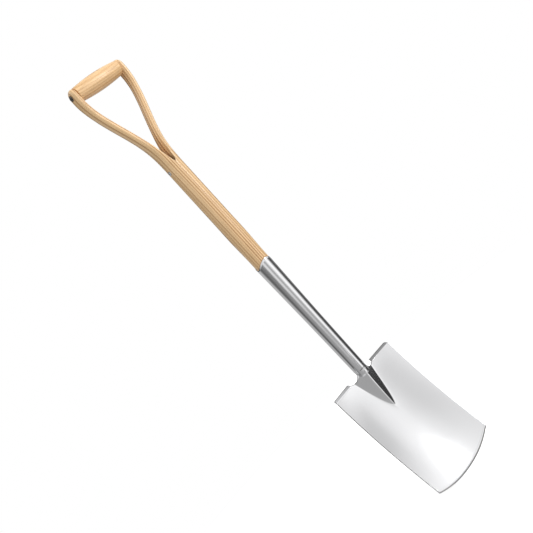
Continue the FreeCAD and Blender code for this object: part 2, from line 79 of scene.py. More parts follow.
class Graph:
    """A material's node tree with short calls for the nodes that the materials share."""

    def __init__(self, name):
        self.material = bpy.data.materials.new(name)
        self.material.use_nodes = True
        self.tree = self.material.node_tree
        self.shader = self.tree.nodes["Principled BSDF"]

    def node(self, kind, **settings):
        made = self.tree.nodes.new(kind)
        for key, value in settings.items():
            setattr(made, key, value)
        return made

    def join(self, source, target):
        self.tree.links.new(source, target)

    def put(self, socket, value):
        if isinstance(value, (int, float, tuple)):
            socket.default_value = value
        else:
            self.join(value, socket)

    def maths(self, operation, first, second=0.0, third=None, clamp=False):
        made = self.node("ShaderNodeMath", operation=operation, use_clamp=clamp)
        self.put(made.inputs[0], first)
        self.put(made.inputs[1], second)
        if third is not None:
            self.put(made.inputs[2], third)
        return made.outputs[0]

    def vector(self, x, y, z):
        made = self.node("ShaderNodeCombineXYZ")
        for socket, value in zip(made.inputs, (x, y, z)):
            self.put(socket, value)
        return made.outputs[0]

    def split(self, vector):
        made = self.node("ShaderNodeSeparateXYZ")
        self.join(vector, made.inputs[0])
        return made.outputs

    def scaled(self, vector, factors):
        made = self.node("ShaderNodeVectorMath", operation="MULTIPLY")
        self.join(vector, made.inputs[0])
        made.inputs[1].default_value = factors
        return made.outputs[0]

    def noise(self, vector, scale=1.0, detail=2.0, roughness=0.5):
        made = self.node("ShaderNodeTexNoise", noise_dimensions="3D")
        self.join(vector, made.inputs["Vector"])
        made.inputs["Scale"].default_value = scale
        made.inputs["Detail"].default_value = detail
        made.inputs["Roughness"].default_value = roughness
        return made.outputs["Fac"]

    def ramp(self, value, stops, kind="LINEAR"):
        made = self.node("ShaderNodeValToRGB")
        self.join(value, made.inputs[0])
        ramp = made.color_ramp
        ramp.interpolation = kind
        while len(ramp.elements) < len(stops):
            ramp.elements.new(0.5)
        for element, (position, colour) in zip(ramp.elements, stops):
            if isinstance(colour, (int, float)):
                colour = (colour, colour, colour)
            element.position = position
            element.color = (*colour, 1.0)
        return made.outputs["Color"]

    def blend(self, kind, amount, first, second):
        made = self.node("ShaderNodeMix", data_type="RGBA", blend_type=kind)
        self.put(made.inputs["Factor"], amount)
        for socket, value in ((made.inputs[6], first), (made.inputs[7], second)):
            self.put(socket, (*value, 1.0) if isinstance(value, tuple) else value)
        return made.outputs[2]

    def bump(self, height, strength, distance):
        made = self.node("ShaderNodeBump")
        made.inputs["Strength"].default_value = strength
        made.inputs["Distance"].default_value = distance
        self.join(height, made.inputs["Height"])
        self.join(made.outputs["Normal"], self.shader.inputs["Normal"])


# ---------------------------------------------------------------- materials: ash and steel

# The second colour is painted shade, laid into the bottom of the split.
ASH_PORE, PAINTED_SPLIT_SHADE = (0.235, 0.115, 0.045), (0.085, 0.05, 0.022)
# Dark grey for the blade's darkened edges and for the painted shade beside the socket's seam.
DARK_EDGE_AND_SHADE_STEEL = (0.12, 0.118, 0.115)


def ash_wood(name, pith, ring_gap, light, dark, seed):
    """Ring-porous ash: long parallel rings, porous dark early wood, fine fibres and ray flecks.

    The pattern lives in the "grain" attribute, whose z runs along the fibres, in metres. A second
    attribute paints shade into the bottom of the split, darkening the wood where the arms shade it.
    """
    g = Graph(name)
    grain = g.node("ShaderNodeAttribute", attribute_name="grain").outputs["Vector"]
    x, y, z = g.split(grain)
    drift = g.noise(g.scaled(grain, (9.0, 9.0, 1.6)), 1.0, 2.0)
    ripple = g.noise(g.scaled(grain, (90.0, 90.0, 7.0)), 1.0, 2.0)
    lean = g.maths("MULTIPLY", z, 0.006)
    across = g.maths("ADD", g.maths("SUBTRACT", x, pith[0]), lean)
    depth = g.maths("SUBTRACT", y, pith[1])
    radius = g.maths("SQRT", g.maths("ADD", g.maths("MULTIPLY", across, across),
                                     g.maths("MULTIPLY", depth, depth)))
    wander = g.maths("MULTIPLY", g.maths("SUBTRACT", drift, 0.5), 0.016)
    tremble = g.maths("MULTIPLY", g.maths("SUBTRACT", ripple, 0.5), 0.0022)
    rings = g.maths("DIVIDE", g.maths("ADD", g.maths("ADD", radius, wander), tremble), ring_gap)
    rings = g.maths("ADD", rings, seed)
    year = g.maths("FRACT", rings)
    early = g.ramp(year, [(0.0, 0.9), (0.1, 1.0), (0.26, 0.95), (0.44, 0.4), (0.66, 0.05),
                          (0.92, 0.0), (1.0, 0.9)])
    year_number = g.maths("FLOOR", rings)
    year_shade = g.noise(g.vector(year_number, 0.37, g.maths("MULTIPLY", z, 0.4)), 1.0, 0.0)
    strength = g.maths("MULTIPLY_ADD", year_shade, 1.7, 0.0, clamp=True)
    early = g.maths("MULTIPLY", early, strength)

    fibres = g.noise(g.scaled(grain, (1500.0, 1500.0, 22.0)), 1.0, 3.0, 0.6)
    streaks = g.noise(g.scaled(grain, (420.0, 420.0, 5.0)), 1.0, 2.0)
    pores = g.noise(g.scaled(grain, (2600.0, 2600.0, 130.0)), 1.0, 1.0)
    pores = g.ramp(pores, [(0.0, 0.0), (0.6, 0.0), (0.68, 1.0), (1.0, 1.0)])
    pores = g.maths("MULTIPLY", pores, g.maths("MULTIPLY_ADD", early, 0.85, 0.1, clamp=True))
    flecks = g.noise(g.scaled(grain, (240.0, 240.0, 1500.0)), 1.0, 1.0)
    tone = g.noise(g.scaled(grain, (22.0, 22.0, 2.4)), 1.0, 3.0)

    colour = g.blend("MIX", g.maths("MULTIPLY", early, 0.9, clamp=True), light, dark)
    shade = g.ramp(streaks, [(0.25, (0.84, 0.81, 0.77)), (0.5, (0.98, 0.97, 0.96)),
                             (0.75, (1.08, 1.07, 1.05))])
    colour = g.blend("MULTIPLY", 1.0, colour, shade)
    shade = g.ramp(fibres, [(0.3, (0.87, 0.85, 0.82)), (0.52, (1.0, 1.0, 1.0)),
                            (0.75, (1.05, 1.05, 1.04))])
    colour = g.blend("MULTIPLY", 1.0, colour, shade)
    shade = g.ramp(tone, [(0.3, (0.93, 0.9, 0.87)), (0.5, (1.0, 1.0, 1.0)),
                          (0.7, (1.05, 1.03, 1.0))])
    colour = g.blend("MULTIPLY", 1.0, colour, shade)
    shade = g.ramp(flecks, [(0.42, (1.0, 1.0, 1.0)), (0.7, (0.92, 0.9, 0.88))])
    colour = g.blend("MULTIPLY", 0.35, colour, shade)
    colour = g.blend("MIX", g.maths("MULTIPLY", pores, 0.3), colour, ASH_PORE)
    # Painted shade: the attribute darkens the wood at the bottom of the split, where the arms shade
    # it.
    split_painted_shade = g.node("ShaderNodeAttribute", attribute_name="dark_edges_and_painted_shade").outputs["Fac"]
    colour = g.blend("MIX", split_painted_shade, colour, PAINTED_SPLIT_SHADE)
    g.join(colour, g.shader.inputs["Base Color"])
    g.join(g.maths("ADD", g.maths("MULTIPLY_ADD", fibres, 0.16, 0.34),
                   g.maths("MULTIPLY", pores, 0.2)), g.shader.inputs["Roughness"])
    height = g.maths("SUBTRACT", g.maths("MULTIPLY", fibres, 0.35), pores)
    g.bump(height, 0.1, 0.00018)
    g.shader.inputs["Coat Weight"].default_value = 0.45
    g.shader.inputs["Coat Roughness"].default_value = 0.22
    g.shader.inputs["IOR"].default_value = 1.5
    return g.material


def stainless(name, colour, polish, brushing=(1900.0, 1900.0, 9.0)):
    """Polished sheet: faint brushing along its length, soft smears and a few fine rubs.

    An attribute darkens and dulls the blade's edges and ground tip, and paints shade beside the lap
    seam.
    """
    g = Graph(name)
    place = g.node("ShaderNodeTexCoord").outputs["Object"]
    lines = g.noise(g.scaled(place, brushing), 1.0, 3.0, 0.65)
    smears = g.noise(g.scaled(place, (26.0, 26.0, 11.0)), 1.0, 3.0, 0.55)
    rubs = g.noise(g.scaled(place, (900.0, 900.0, 45.0)), 1.0, 1.0)
    rubs = g.ramp(rubs, [(0.66, 0.0), (0.74, 1.0)])
    shade = g.ramp(lines, [(0.3, tuple(0.965 * part for part in colour)), (0.5, colour),
                           (0.72, tuple(min(1.02 * part, 1.0) for part in colour))])
    # The attribute darkens and dulls the blade's edges and ground tip, and is painted shade beside
    # the lap seam.
    dark_edges_and_painted_shade = g.node("ShaderNodeAttribute", attribute_name="dark_edges_and_painted_shade").outputs["Fac"]
    shade = g.blend("MIX", dark_edges_and_painted_shade, shade, DARK_EDGE_AND_SHADE_STEEL)
    g.join(shade, g.shader.inputs["Base Color"])
    rough = g.maths("MULTIPLY_ADD", smears, 0.06, polish - 0.03)
    rough = g.maths("MULTIPLY_ADD", dark_edges_and_painted_shade, 0.25, rough)
    rough = g.maths("ADD", rough, g.maths("MULTIPLY_ADD", lines, 0.05, -0.025))
    rough = g.maths("ADD", rough, g.maths("MULTIPLY", rubs, 0.05))
    g.join(rough, g.shader.inputs["Roughness"])
    g.bump(g.maths("ADD", lines, g.maths("MULTIPLY", rubs, 0.4)), 0.05, 0.00003)
    g.shader.inputs["Metallic"].default_value = 1.0
    return g.material


def fixing_metal(name, colour, rough, grain_scale, tint):
    """Small cut or hammered steel: faceted wear, darker hollows and a mottled roughness."""
    g = Graph(name)
    place = g.node("ShaderNodeTexCoord").outputs["Object"]
    mottle = g.noise(g.scaled(place, (grain_scale,) * 3), 1.0, 4.0, 0.6)
    dents = g.noise(g.scaled(place, (grain_scale * 0.35,) * 3), 1.0, 1.0)
    g.join(g.ramp(mottle, [(0.3, tint), (0.55, colour),
                           (0.8, tuple(min(part * 1.12, 1.0) for part in colour))]),
           g.shader.inputs["Base Color"])
    g.join(g.maths("MULTIPLY_ADD", mottle, 0.25, rough - 0.12), g.shader.inputs["Roughness"])
    g.bump(g.maths("ADD", dents, g.maths("MULTIPLY", mottle, 0.3)), 0.35, 0.00025)
    g.shader.inputs["Metallic"].default_value = 1.0
    return g.material


ASH_LIGHT = (0.93, 0.655, 0.365)
ASH_DARK = (0.47, 0.245, 0.092)
ash = ash_wood("ash_varnished", (0.078, -0.046), 0.0046, ASH_LIGHT, ASH_DARK, 0.2)
ash_turned = ash_wood("ash_turned_varnished", (0.03, -0.062), 0.0052, (0.86, 0.575, 0.30),
                      (0.64, 0.38, 0.165), 0.55)
steel = stainless("stainless_polished", (0.79, 0.79, 0.80), 0.10)
tube_steel = stainless("stainless_tube", (0.77, 0.77, 0.78), 0.13)
bright_fixing = fixing_metal("fixing_steel_bright", (0.66, 0.66, 0.67), 0.3, 1400.0,
                             (0.42, 0.41, 0.40))
dark_fixing = fixing_metal("fixing_steel_oiled", (0.17, 0.16, 0.15), 0.38, 1200.0,
                           (0.07, 0.062, 0.055))
weld_metal = fixing_metal("weld_bead_heat_tinted", (0.52, 0.48, 0.43), 0.34, 900.0,
                          (0.24, 0.19, 0.2))


# ---------------------------------------------------------------- making pieces


def add_piece(name, points, faces, material, node, sharp=35.0, grain=None, dark_edges_and_painted_shade=None):
    """A mesh piece in place of one CAD node, riding on the spade's only body."""
    mesh = bpy.data.meshes.new(name)
    mesh.from_pydata(to_row_frame(points).tolist(), [], faces)
    if grain is not None:
        layer = mesh.attributes.new("grain", "FLOAT_VECTOR", "POINT")
        layer.data.foreach_set("vector", (np.asarray(grain, np.float32) / 1000.0).ravel())
    if dark_edges_and_painted_shade is not None:
        layer = mesh.attributes.new("dark_edges_and_painted_shade", "FLOAT", "POINT")
        layer.data.foreach_set("value", np.asarray(dark_edges_and_painted_shade, np.float32))
    work = bmesh.new()
    work.from_mesh(mesh)
    bmesh.ops.recalc_face_normals(work, faces=work.faces)
    work.to_mesh(mesh)
    work.free()
    mesh.polygons.foreach_set("use_smooth", [True] * len(mesh.polygons))
    mesh.set_sharp_from_angle(angle=math.radians(sharp))
    piece = bpy.data.objects.new(name, mesh)
    bpy.context.scene.collection.objects.link(piece)
    mesh.materials.append(material)
    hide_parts(node)
    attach(piece, "root")


def ring_faces(first, second, count):
    """Quads between two closed rings of vertices that start at the two indices."""
    faces = []
    for index in range(count):
        after = (index + 1) % count
        faces.append((first + index, first + after, second + after, second + index))
    return faces


def lathe(profile, axis, centre, count=48):
    """A closed turned solid. Profile rows are (along the axis, radius); its ends have radius 0."""
    forward = unit(np.asarray(axis, float))
    side = unit(np.cross(forward, (0.0, 0.0, 1.0) if abs(forward[2]) < 0.9 else (1.0, 0.0, 0.0)))
    other = np.cross(forward, side)
    centre = np.asarray(centre, float)
    points = [centre + forward * profile[0][0]]
    for along, radius in profile[1:-1]:
        for index in range(count):
            turn = 2.0 * math.pi * index / count
            points.append(centre + forward * along
                          + radius * (side * math.cos(turn) + other * math.sin(turn)))
    points.append(centre + forward * profile[-1][0])
    faces = [(0, 1 + (index + 1) % count, 1 + index) for index in range(count)]
    rings = len(profile) - 2
    for ring in range(rings - 1):
        faces += ring_faces(1 + ring * count, 1 + (ring + 1) * count, count)
    last = 1 + (rings - 1) * count
    end = len(points) - 1
    faces += [(end, last + index, last + (index + 1) % count) for index in range(count)]
    return np.array(points), faces


# ---------------------------------------------------------------- ash handle

SHAFT_RADIUS = 18.4
WAIST_RADIUS, WAIST_LOW, WAIST_HIGH = 17.3, 541.0, 600.0
SWELL, SWELL_HEIGHT, SWELL_REACH = 0.25, 603.0, 22.0
TANG_LEVELS, TANG_SINK, TANG_TOP_RADIUS = (307.0, 394.0, 450.0, 500.0), 1.6, 16.75
SHOULDER_GAP, SHOULDER_ROUND, SHAFT_START = 0.3, 0.22, 544.0

# The split starts at the crotch. Above it each half of the shaft opens, thins and turns into an arm
# with a rounded section, and the arms spread to the grip.
CROTCH = 777.0
SPLIT_HALF, OPEN_RISE, OPEN_SINK = 1.3, 7.0, 0.25
THIN_LOW, THIN_HIGH = CROTCH + 2.0, CROTCH + 34.0
SHAPE_RISE = 85.0
SPREAD_LOW, SPREAD_HIGH = 795.0, 972.0
DEEPEN_LOW, DEEPEN_HIGH = 925.0, 975.0
ARM_TOP_X = 57.9
ARM_HALF, ARM_DEPTH, ARM_TOP_DEPTH = 6.4, 11.6, 14.2
INNER_POWER, OUTER_POWER, INNER_ROUND = 0.72, 0.92, 1.7
TOP_RADIUS, TOP_PINCH, TOP_POWER = 14.3, 0.35, 0.8
GRIP_HEIGHT = 982.0
MOUTH_HEIGHT, MOUTH_ARC = 537.0, 21.0
SOCKET_TILT = math.radians(0.71)

RING = 96
HALF_RING = RING // 2
CHORD = 24
# Painted shade in the split: how dark it is at the crotch, and the height over which it fades.
SPLIT_SHADE, SPLIT_FADE = 0.8, 17.0


def socket_axis(height):
    """Depth of the leaning socket's axis at a height."""
    return -(MOUTH_HEIGHT - np.asarray(height, float)) * math.tan(SOCKET_TILT)


def socket_radius(height):
    """Outside of the socket, above the frog."""
    drop = MOUTH_HEIGHT - np.asarray(height, float)
    return np.interp(drop, (0.0, 143.0, 272.0, 300.0), (18.4, 15.2, 13.2, 12.9))


def mouth_level(across, gap=0.0):
    """Height of the socket's mouth: a rounded tongue at the front and one at the back."""
    radius = MOUTH_ARC + gap
    return MOUTH_HEIGHT - MOUTH_ARC + np.sqrt(np.maximum(radius ** 2 - np.square(across), 0.0))


def arm_state(height):
    """The right arm's section at a height: its middle, slope, half thickness and half depth, how
    far it has become an arm, how far the split has opened, and the middle of the arm's root.
    """
    shape = float(smoothstep(CROTCH, CROTCH + SHAPE_RISE, height))
    opened = float(smoothstep(CROTCH, CROTCH + OPEN_RISE, height))
    outer = SHAFT_RADIUS - OPEN_SINK * opened
    thinning = float(smoothstep(THIN_LOW, THIN_HIGH, height))
    level_half = mix((outer - SPLIT_HALF * opened) / 2.0, ARM_HALF, thinning)
    root_middle = outer - level_half
    spread = float(smoothstep(SPREAD_LOW, SPREAD_HIGH, height))
    slope = float(smoothstep(SPREAD_LOW, SPREAD_HIGH, height + 0.5)) - float(
        smoothstep(SPREAD_LOW, SPREAD_HIGH, height - 0.5)
    )
    slope *= ARM_TOP_X - root_middle
    middle = mix(root_middle, ARM_TOP_X, spread)
    half = level_half * math.hypot(1.0, slope)
    depth = mix(outer, ARM_DEPTH, shape)
    depth = mix(depth, ARM_TOP_DEPTH, float(smoothstep(DEEPEN_LOW, DEEPEN_HIGH, height)))
    return middle, slope, half, depth, shape, opened, root_middle


def arm_ring(height):
    """One closed section of the right arm: the outer side from front to back, then the inner."""
    middle, slope, half, depth, shape, opened, root_middle = arm_state(height)
    over = min(max(height - GRIP_HEIGHT, 0.0) / TOP_RADIUS, 1.0)
    rounding = math.sqrt(max(1.0 - over * over, 0.0))
    depth *= rounding
    centre = middle
    middle -= half
    half *= mix(TOP_PINCH, 1.0, rounding ** TOP_POWER)
    middle += half
    widest = mix(middle - half + INNER_ROUND * opened, middle, shape)
    angles = [-90.0 + 180.0 * index / HALF_RING for index in range(HALF_RING + 1)]
    angles += [90.0 + 180.0 * index / CHORD for index in range(1, CHORD)]
    points, grain = [], []
    travelled = arm_length(height)
    for index, degrees in enumerate(angles):
        turn = math.radians(degrees)
        cosine, sine = math.cos(turn), math.sin(turn)
        power = mix(1.0, INNER_POWER if index > HALF_RING else OUTER_POWER, shape)
        across = abs(cosine) ** power
        deep = math.copysign(abs(sine) ** power, sine)
        if index in (0, HALF_RING):
            across, deep = 0.0, math.copysign(1.0, sine)
        x = widest + (middle + half - widest) * across
        if index > HALF_RING:
            x = widest - (widest - middle + half) * across
        y = depth * deep
        points.append((x, y, height))
        offset = (x - centre) / math.hypot(1.0, slope)
        grain.append((offset + root_middle, y, travelled))
    return points, grain


def arm_length(height):
    """Length along an arm from the crotch, counted from the crotch's height."""
    if height <= CROTCH:
        return height
    steps = 24
    total = 0.0
    for index in range(steps):
        level = CROTCH + (height - CROTCH) * (index + 0.5) / steps
        total += math.hypot(1.0, arm_state(level)[1]) * (height - CROTCH) / steps
    return CROTCH + total


def shaft_radius(height):
    """Radius of the wood between the socket and the split."""
    waist = WAIST_RADIUS + (SHAFT_RADIUS - WAIST_RADIUS) * smoothstep(WAIST_LOW, WAIST_HIGH, height)
    return waist + SWELL * np.exp(-(((height - SWELL_HEIGHT) / SWELL_REACH) ** 2))


def arm_levels():
    """Heights of an arm's rings: close together in the split and over the rounded top."""
    near = 30.0
    levels = [CROTCH + near * (index / 16.0) ** 1.4 for index in range(1, 17)]
    levels += list(np.linspace(CROTCH + near, GRIP_HEIGHT, 47)[1:])
    for degrees in (*range(8, 89, 8), 89):
        levels.append(GRIP_HEIGHT + TOP_RADIUS * math.sin(math.radians(degrees)))
    return levels


def strip_cap(loop):
    """Faces across a closed even loop, joined pair by pair from its first vertex to its middle."""
    count, middle = len(loop), len(loop) // 2
    faces = [(loop[index], loop[index + 1], loop[count - index - 2], loop[count - index - 1])
             for index in range(middle - 1)]
    return faces + [(loop[middle - 1], loop[middle], loop[middle + 1])]


def build_shaft():
    """The tang, the shoulder under the socket's mouth and the round shaft up to the crotch."""
    turns = np.radians(-90.0 + 360.0 * np.arange(RING) / RING)
    cosines, sines = np.cos(turns), np.sin(turns)
    foot = TANG_LEVELS[0]
    points, grain = [(0.0, float(socket_axis(foot)), foot)], [(0.0, 0.0, foot)]
    starts = []

    def ring(radius, level, shift=0.0):
        starts.append(len(points))
        for cosine, sine, height in zip(cosines, sines, np.broadcast_to(level, RING)):
            points.append((radius * cosine, radius * sine + shift, float(height)))
            grain.append((radius * cosine, radius * sine, float(height)))

    for height in TANG_LEVELS:
        ring(float(socket_radius(height)) - TANG_SINK, height, float(socket_axis(height)))
    shoulder = mouth_level(WAIST_RADIUS * cosines, SHOULDER_GAP)
    ring(TANG_TOP_RADIUS, shoulder - 0.6)
    ring(TANG_TOP_RADIUS + 0.03, shoulder)
    ring(WAIST_RADIUS - SHOULDER_ROUND, shoulder + 0.02)
    for part in (0.0, 0.3, 0.65):
        ring(WAIST_RADIUS, mix(shoulder + 0.5, SHAFT_START, part))
    for height in np.linspace(SHAFT_START, CROTCH, 34):
        ring(float(shaft_radius(height)), height)
    faces = [(0, starts[0] + (index + 1) % RING, starts[0] + index) for index in range(RING)]
    for first, second in zip(starts, starts[1:]):
        faces += ring_faces(first, second, RING)
    return points, faces, grain, starts[-1]


def build_handle():
    """The shaft with its two arms. Also gives the direction of the grain and the painted shade in
    the split.
    """
    points, faces, grain, top = build_shaft()

    # At the crotch the shaft's ring is shared by both arms, with one chord across it.
    chord = []
    for index in range(1, CHORD):
        turn = math.radians(90.0 + 180.0 * index / CHORD)
        chord.append(len(points))
        points.append((0.0, float(shaft_radius(CROTCH)) * math.sin(turn), CROTCH))
        grain.append(points[-1])
    inner = []
    size = HALF_RING + CHORD
    for side in (1, -1):
        loop = [top + (side * index) % RING for index in range(HALF_RING + 1)] + chord
        for height in arm_levels():
            section, fibres = arm_ring(height)
            start = len(points)
            inner += range(start + HALF_RING + 1, start + size)
            points += [(side * x, y, z) for x, y, z in section]
            grain += [(side * x, y, z) for x, y, z in fibres]
            after = list(range(start, start + size))
            for index in range(size):
                following = (index + 1) % size
                faces.append((loop[index], loop[following], after[following], after[index]))
            loop = after
        faces += strip_cap(loop[:HALF_RING + 1])
        faces += strip_cap(loop[HALF_RING:] + loop[:1])
    # Painted shade: the inner faces and the chord darken near the crotch and fade upward.
    split_painted_shade = np.zeros(len(points))
    inner += chord
    heights = np.array(points)[inner, 2]
    split_painted_shade[inner] = SPLIT_SHADE * np.exp(-((heights - CROTCH) / SPLIT_FADE) ** 2)
    return points, faces, grain, split_painted_shade


handle_points, handle_faces, handle_grain, handle_split_painted_shade = build_handle()
add_piece("ash_handle", handle_points, handle_faces, ash, "handle", 48.0, handle_grain,
          handle_split_painted_shade)


# ---------------------------------------------------------------- cross grip

GRIP_HALF = 52.0
GRIP_STATIONS = ((0.0, 17.75), (13.0, 17.5), (26.0, 16.9), (39.0, 15.9), (52.0, 14.3))


def grip_radius(across):
    """The barrel's radius: a smooth curve through a few turned diameters."""
    reach, radii = zip(*GRIP_STATIONS)
    curve = np.polyfit(np.square(reach), radii, 3)
    return float(np.polyval(curve, across * across))


grip_profile = [(-GRIP_HALF, 0.0), (-GRIP_HALF, 9.0)]
for across in np.linspace(-GRIP_HALF, GRIP_HALF, 61):
    grip_profile.append((across, grip_radius(across)))
grip_profile += [(GRIP_HALF, 9.0), (GRIP_HALF, 0.0)]
grip_points, grip_faces = lathe(grip_profile, (1, 0, 0), (0, 0, GRIP_HEIGHT), 96)
grip_grain = np.column_stack([
    grip_points[:, 1], grip_points[:, 2] - GRIP_HEIGHT, grip_points[:, 0] + 300.0,
])
add_piece("cross_grip", grip_points, grip_faces, ash_turned, "grip", 40.0, grip_grain)


# ---------------------------------------------------------------- rod, rivets and washers

WASHER_SEAT, WASHER_THICKNESS, WASHER_RADIUS = 63.8, 1.2, 5.5
ROD_RADIUS, ROD_HEAD, ROD_RISE = 3.0, 4.1, 1.2
NECK_SEAT, NECK_THICKNESS, NECK_WASHER = 17.6, 1.0, 4.4
NECK_SHANK, NECK_HEAD, NECK_RISE = 2.0, 3.1, 1.4


def headed_rod(shank, seat, head, rise):
    """Half profile of a rod whose two ends are riveted over to low domes."""
    dome = [(seat + rise, 0.0)]
    for degrees in (12, 26, 40, 54, 68, 80):
        turn = math.radians(degrees)
        dome.append((seat + rise * math.cos(turn) ** 0.8, head * math.sin(turn)))
    dome += [(seat + 0.16 * rise, head), (seat + 0.02, head * 0.985), (seat, shank)]
    mirrored = [(-along, radius) for along, radius in dome]
    return mirrored + dome[::-1]


def washer_ring(name, axis_height, side, seat, thickness, bore, rim, material, node):
    """A flat washer with rounded rims, slightly dished by the riveting."""
    rows = [(0.0, bore), (0.0, rim - 0.3), (0.12, rim - 0.08), (0.45 * thickness, rim),
            (0.8 * thickness, rim - 0.1), (thickness, rim - 0.45), (thickness, bore + 0.3)]
    count = 56
    points, faces = [], []
    for along, radius in rows:
        for index in range(count):
            turn = 2.0 * math.pi * index / count
            points.append((side * (seat + along), radius * math.cos(turn),
                           axis_height + radius * math.sin(turn)))
    for row in range(len(rows)):
        faces += ring_faces(row * count, (row + 1) % len(rows) * count, count)
    add_piece(name, points, faces, material, node, 30.0)


rod_points, rod_faces = lathe(
    headed_rod(ROD_RADIUS, WASHER_SEAT + WASHER_THICKNESS, ROD_HEAD, ROD_RISE),
    (1, 0, 0), (0, 0, GRIP_HEIGHT), 56,
)
add_piece("riveted_grip_rod", rod_points, rod_faces, dark_fixing, "grip_rod")
rivet_points, rivet_faces = lathe(
    headed_rod(NECK_SHANK, NECK_SEAT + NECK_THICKNESS, NECK_HEAD, NECK_RISE),
    (1, 0, 0), (0, 0, NECK_HEIGHT), 56,
)
add_piece("split_rivet", rivet_points, rivet_faces, bright_fixing, "neck_rivet")
for side, word in ((1, "right"), (-1, "left")):
    washer_ring(f"grip_rove_{word}", GRIP_HEIGHT, side, WASHER_SEAT, WASHER_THICKNESS,
                ROD_RADIUS + 0.1, WASHER_RADIUS, dark_fixing, f"grip_washer_{word}")
    washer_ring(f"split_rove_{word}", NECK_HEIGHT, side, NECK_SEAT, NECK_THICKNESS,
                NECK_SHANK + 0.1, NECK_WASHER, bright_fixing, f"neck_washer_{word}")


# ---------------------------------------------------------------- socket

SOCKET_WALL = 1.5
TUBE_RING = 144
# LAP_SHADE and its width paint shade as a dark line just past the seam's step.
LAP_STEP, LAP_SHADE, LAP_SHADE_WIDTH = 0.55, 0.75, 3.2
LAP_FADE_LOW, LAP_FADE_HIGH = 272.0, 330.0
TUBE_SHOULDER, TUBE_LOW, TUBE_FOOT = 505.0, 284.0, 252.0
FOOT_DROP, FOOT_SINK = 6.5, 5.0


def seam_azimuth(height):
    """Direction of the lap seam round the socket, in degrees from the front."""
    return np.interp(height, (245.0, 254.5, 279.0, 340.0), (-25.0, -21.0, -17.0, -12.0))


def build_socket():
    """The hollow tube with its lap seam, ring by ring: up the inside, over the mouth and down."""
    azimuths = np.radians(-180.0 + 360.0 * np.arange(TUBE_RING) / TUBE_RING)
    sines, cosines = np.sin(azimuths), np.cos(azimuths)
    mouth = mouth_level(SHAFT_RADIUS * sines)
    points, faces, starts, dark_edges_and_painted_shade = [], [], [], []

    def ring(levels, grown):
        starts.append(len(points))
        levels = np.broadcast_to(levels, TUBE_RING)
        radii = socket_radius(levels) + grown
        lap = 1.0 - smoothstep(-1.0, 1.0, np.degrees(azimuths) - seam_azimuth(levels))
        lap = lap * smoothstep(-150.0, -60.0, np.degrees(azimuths))
        fade = 1.0 - smoothstep(LAP_FADE_LOW, LAP_FADE_HIGH, levels)
        radii = radii + (LAP_STEP * lap * fade if outside else 0.0)
        # Painted shade: a dark line beside the seam's step, where the lap's edge shades the tube.
        beside = (np.degrees(azimuths) - seam_azimuth(levels) - 1.5) / LAP_SHADE_WIDTH
        dark_edges_and_painted_shade.extend(LAP_SHADE * np.exp(-beside ** 2) * fade if outside else np.zeros(TUBE_RING))
        shift = socket_axis(levels)
        for sine, cosine, radius, height, away in zip(sines, cosines, radii, levels, shift):
            points.append((radius * sine, away - radius * cosine, float(height)))

    outside = False
    for height in (300.0, 420.0, 500.0):
        ring(height, -SOCKET_WALL)
    ring(mouth - 0.5, -SOCKET_WALL)
    ring(mouth - 0.1, -SOCKET_WALL + 0.15)
    ring(mouth, -SOCKET_WALL + 0.5)
    outside = True
    ring(mouth, -0.5)
    ring(mouth - 0.12, -0.15)
    ring(mouth - 0.5, 0.0)
    for part in (0.15, 0.4, 0.7):
        ring(mix(mouth - 0.5, TUBE_SHOULDER, part), 0.0)
    for height in (*np.linspace(TUBE_SHOULDER, TUBE_LOW, 30), *np.linspace(280.0, TUBE_FOOT, 22)):
        ring(height, 0.0)
    for degrees in (20, 38, 54, 68, 78):
        turn = math.radians(degrees)
        ring(TUBE_FOOT - FOOT_DROP * math.sin(turn), -FOOT_SINK * (1.0 - math.cos(turn)))
    outside = False
    ring(247.0, -6.5)
    ring(262.0, -3.6)
    for first, second in zip(starts, starts[1:] + starts[:1]):
        faces += ring_faces(first, second, TUBE_RING)
    return points, faces, dark_edges_and_painted_shade


socket_points, socket_faces, socket_painted_seam_shade = build_socket()
add_piece("socket_tube", socket_points, socket_faces, tube_steel, "socket", 50.0,
          dark_edges_and_painted_shade=socket_painted_seam_shade)

SCREW_DROP = 42.0
screw_height = MOUTH_HEIGHT - SCREW_DROP
screw_seat = float(socket_axis(screw_height) + socket_radius(screw_height)) + 0.05
screw_profile = [(-24.0, 0.0), (-24.0, 0.9), (-18.0, 2.6), (-0.6, 2.6), (0.0, 2.7), (0.0, 4.85),
                 (0.25, 5.0), (0.7, 4.85)]
for degrees in (62, 52, 42, 32, 22, 12):
    turn = math.radians(degrees)
    screw_profile.append((2.2 * math.cos(turn) ** 0.9, 5.2 * math.sin(turn)))
screw_profile.append((2.2, 0.0))
screw_points, screw_faces = lathe(screw_profile, (0, 1, 0), (0, screw_seat, screw_height), 64)
add_piece("socket_screw_domed", screw_points, screw_faces, bright_fixing, "socket_screw")


# ---------------------------------------------------------------- blade

